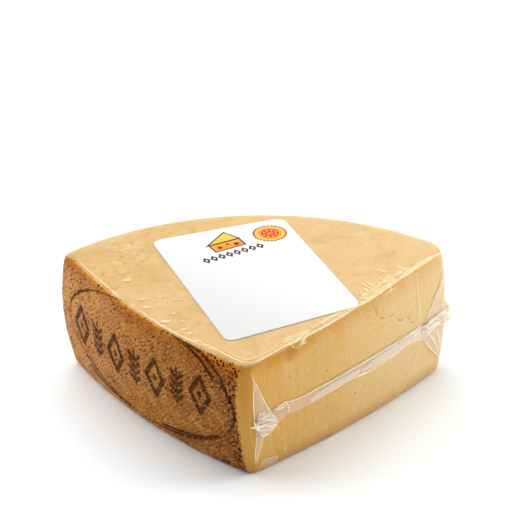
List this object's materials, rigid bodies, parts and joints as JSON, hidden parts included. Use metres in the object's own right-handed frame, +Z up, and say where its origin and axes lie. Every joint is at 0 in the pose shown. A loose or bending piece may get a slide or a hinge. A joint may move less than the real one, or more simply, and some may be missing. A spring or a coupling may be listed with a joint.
{
  "type": "wrapped cheese quarter wheel",
  "caption": "Quarter of a wheel of aged cheese in clear shrink film, with a stamped brown rind face, a golden cut face and a white paper label on top.",
  "frame": {"origin": "middle of the bounding box, on the surface that the cheese lies on", "axes": "+Z up through the flat top, -Y towards the front corner between the rind face and the cut face, +X towards the right corner"},
  "size_m": [0.228, 0.176, 0.0807],
  "materials": {
    "cheese": "pale golden paste with a brown woven-grained rind on two sides",
    "film": "clear glossy shrink film, whitish where it is folded or welded",
    "label": "smooth white paper with small printed shapes"
  },
  "bodies": {
    "root": {"cheese": "cheese", "label": "label", "film_seam": "film", "film_gather_front": "film", "film_gather_right": "film"}
  },
  "joints": []
}
